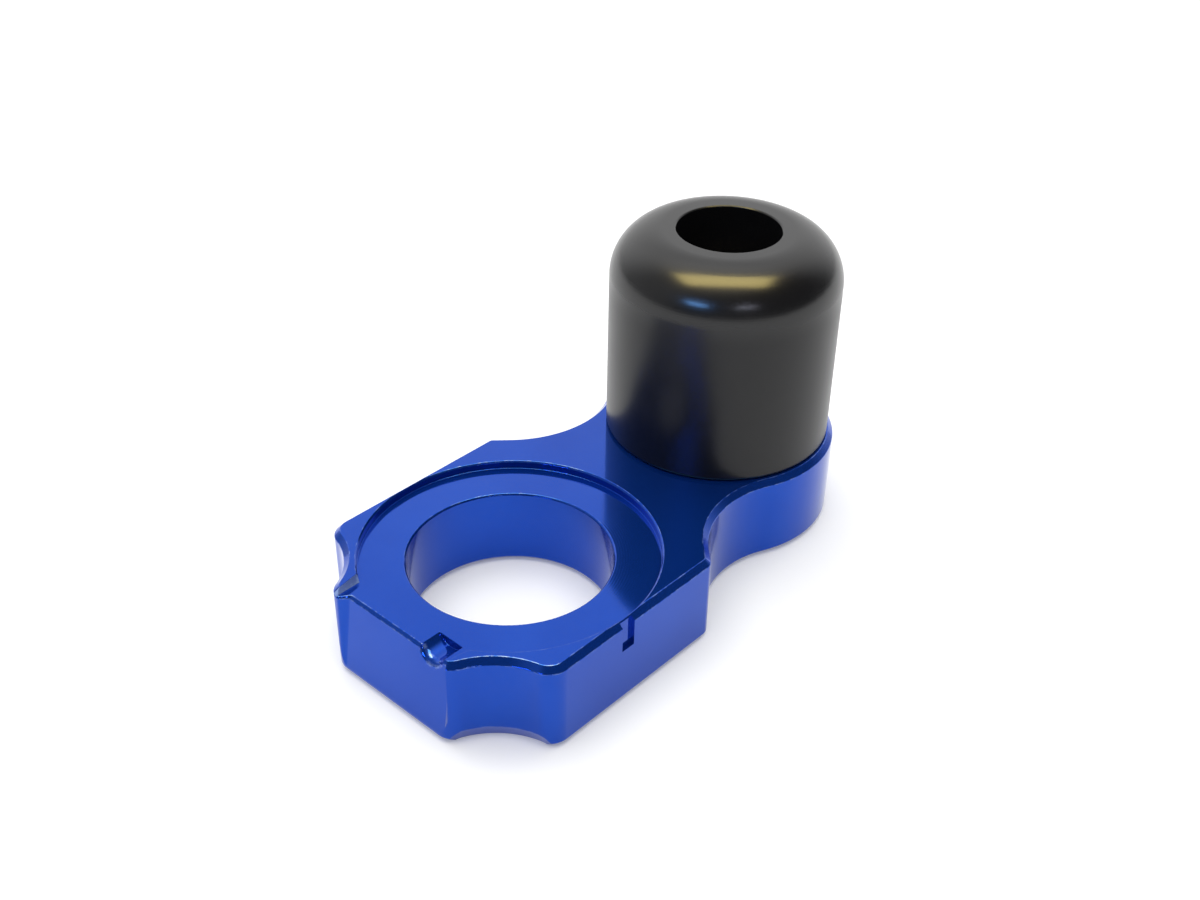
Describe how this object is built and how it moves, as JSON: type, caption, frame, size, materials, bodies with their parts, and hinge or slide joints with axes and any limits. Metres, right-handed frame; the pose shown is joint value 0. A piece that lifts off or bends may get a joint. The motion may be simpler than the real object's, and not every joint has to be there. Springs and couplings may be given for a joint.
{
  "type": "chain tensioner",
  "caption": "Motorbike rear-axle chain adjuster block with an axle bore, washer recess and necked tail that carries a bolted-on round crash slider.",
  "frame": {"origin": "on the axle bore's axis, halfway between the back face and the washer recess floor", "axes": "+X from the axle bore towards the slider, +Z along the axle from the back face to the slider's side"},
  "size_m": [0.0751, 0.0382, 0.0406],
  "materials": {
    "blue_anodised": "gloss",
    "black_plastic": "satin",
    "black_steel": "satin",
    "plated_steel": "satin"
  },
  "bodies": {
    "root": {"adjuster_plate": "blue_anodised", "crash_slider": "black_plastic", "slider_bolt": "black_steel", "slider_washer": "plated_steel"}
  },
  "joints": []
}
